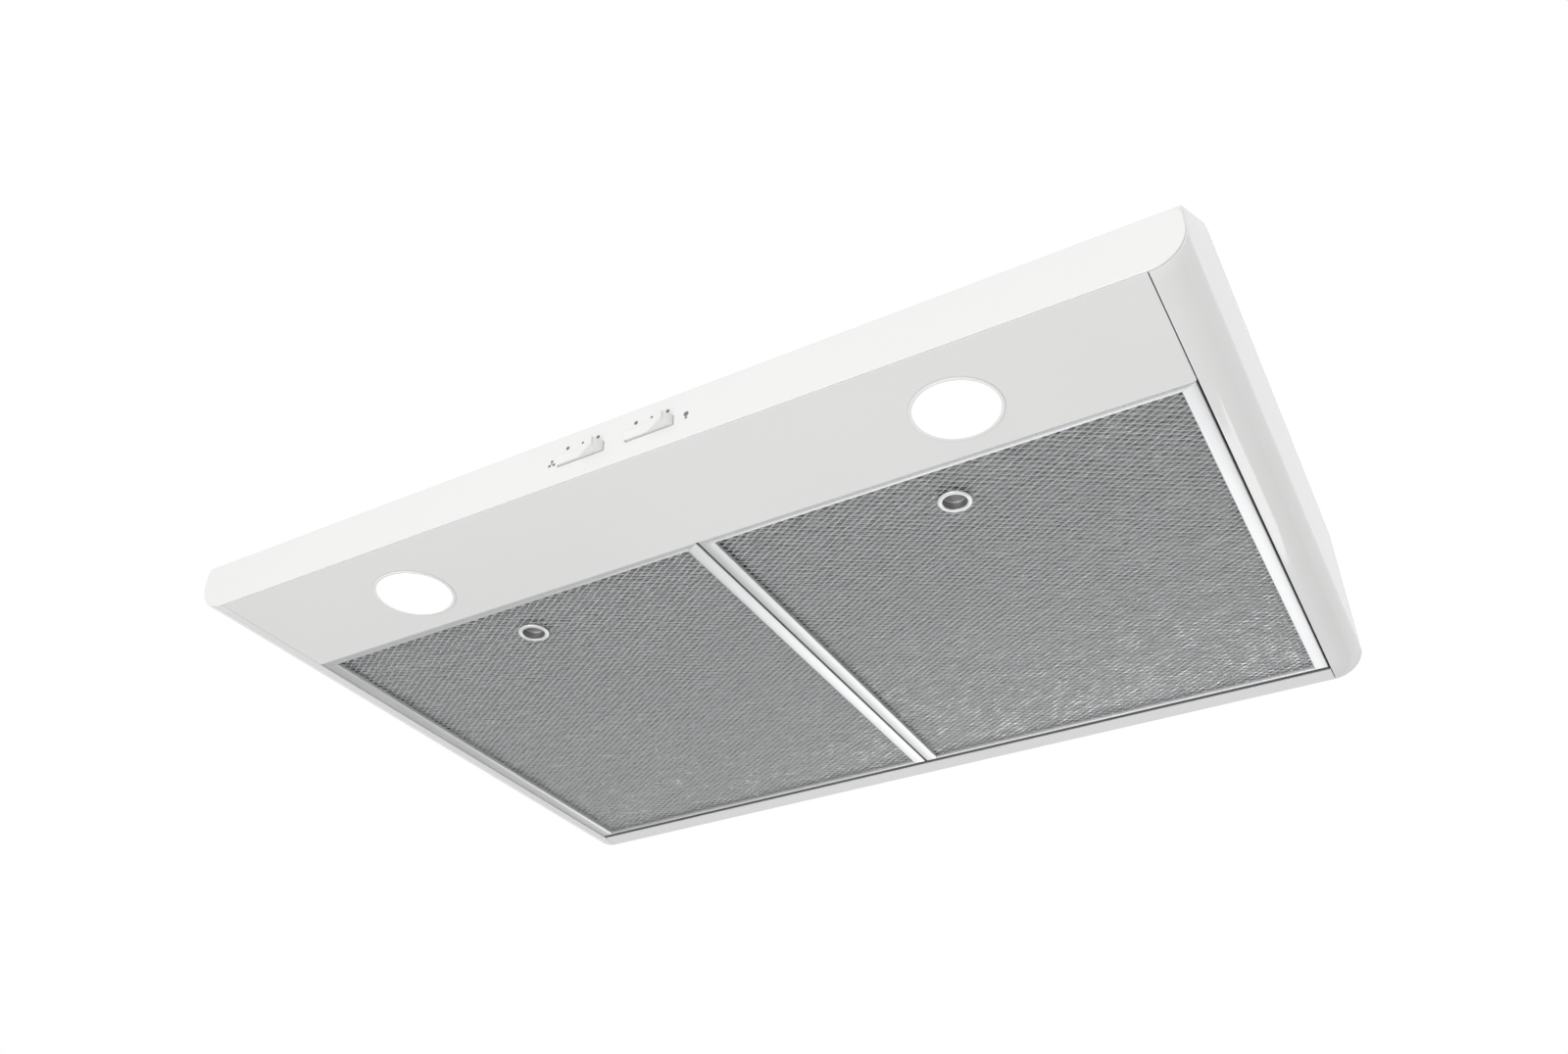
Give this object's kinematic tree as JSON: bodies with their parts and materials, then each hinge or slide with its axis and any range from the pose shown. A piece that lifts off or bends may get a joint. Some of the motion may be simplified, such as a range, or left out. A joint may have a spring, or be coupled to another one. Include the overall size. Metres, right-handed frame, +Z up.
{
  "type": "under cabinet range hood",
  "caption": "White steel range hood that hangs under a kitchen cabinet, with drop-down mesh filters, underside lights, front rocker switches and a ducted blower.",
  "frame": {"origin": "middle of the flat top face, the face that meets the underside of the cabinet", "axes": "+X to the right of a person facing the hood, +Y towards the wall, +Z up"},
  "size_m": [0.76, 0.5293, 0.188],
  "materials": {
    "white_enamel": "gloss white baked enamel on steel",
    "filter_aluminium": "satin folded aluminium",
    "mesh_aluminium": "expanded aluminium mesh",
    "ring_aluminium": "bright pressed aluminium",
    "galvanised": "galvanised sheet",
    "zinc_screw": "zinc plated",
    "spring_steel": "bright spring steel",
    "shaft_steel": "ground steel",
    "white_plastic": "moulded white plastic",
    "bezel_white": "moulded pale plastic",
    "black_plastic": "moulded black plastic",
    "lens_glass": "frosted glass",
    "bulb_glass": "pressed glass",
    "reflector": "spun aluminium",
    "socket_ceramic": "glazed ceramic",
    "motor_steel": "dark lacquered steel"
  },
  "bodies": {
    "hood": {"top_panel": "white_enamel", "side_panel_left": "white_enamel", "side_panel_right": "white_enamel", "front_fascia": "white_enamel", "light_panel": "white_enamel", "rear_panel": "white_enamel", "filter_springs": "spring_steel", "filter_rail": "black_plastic", "lamp_bezel_left": "bezel_white", "lamp_bezel_right": "bezel_white", "lamp_lens_left": "lens_glass", "lamp_lens_right": "lens_glass", "lamp_can_left": "reflector", "lamp_can_right": "reflector", "lamp_bulb_left": "bulb_glass", "lamp_bulb_right": "bulb_glass", "lamp_socket_left": "socket_ceramic", "lamp_socket_right": "socket_ceramic", "switch_body_left": "white_plastic", "switch_body_right": "white_plastic", "switch_pin_left": "shaft_steel", "switch_pin_right": "shaft_steel", "blower_scroll": "galvanised", "blower_cheek_left": "galvanised", "blower_cheek_right": "galvanised", "motor_body": "motor_steel", "motor_bracket": "galvanised", "duct_collar": "galvanised", "damper_pin": "shaft_steel", "inlet_plate": "galvanised", "wiring_box": "galvanised", "wiring_cover": "galvanised", "cable_bushing": "black_plastic", "blower_screws": "zinc_screw", "collar_screws": "zinc_screw", "cover_screws": "zinc_screw"},
    "filter_left": {"filter_frame_left": "filter_aluminium", "filter_mesh_left": "mesh_aluminium", "filter_pull_left": "ring_aluminium"},
    "filter_right": {"filter_frame_right": "filter_aluminium", "filter_mesh_right": "mesh_aluminium", "filter_pull_right": "ring_aluminium"},
    "button_left": {"rocker_left": "white_plastic"},
    "button_right": {"rocker_right": "white_plastic"},
    "wheel": {"blower_wheel": "black_plastic", "motor_shaft": "shaft_steel"},
    "flap": {"damper_flap": "galvanised"}
  },
  "joints": [
    {"name": "filter_left_drop", "type": "hinge", "parent": "hood", "child": "filter_left", "pos_m": [-0.1772, 0.239, -0.1366], "axis": [1, 0, 0], "range_deg": [0, 75]},
    {"name": "filter_right_drop", "type": "hinge", "parent": "hood", "child": "filter_right", "pos_m": [0.1772, 0.239, -0.1366], "axis": [1, 0, 0], "range_deg": [0, 75]},
    {"name": "switch_left_rock", "type": "hinge", "parent": "hood", "child": "button_left", "pos_m": [-0.0272, -0.257, -0.1184], "axis": [0, 0, 1], "range_deg": [0, 26]},
    {"name": "switch_right_rock", "type": "hinge", "parent": "hood", "child": "button_right", "pos_m": [0.0272, -0.257, -0.1184], "axis": [0, 0, 1], "range_deg": [0, 26]},
    {"name": "wheel_spin", "type": "hinge", "parent": "hood", "child": "wheel", "pos_m": [0, 0.18, -0.066], "axis": [1, 0, 0], "continuous": true},
    {"name": "damper_lift", "type": "hinge", "parent": "hood", "child": "flap", "pos_m": [0, 0.16, 0.014], "axis": [1, 0, 0], "range_deg": [0, 70]}
  ]
}
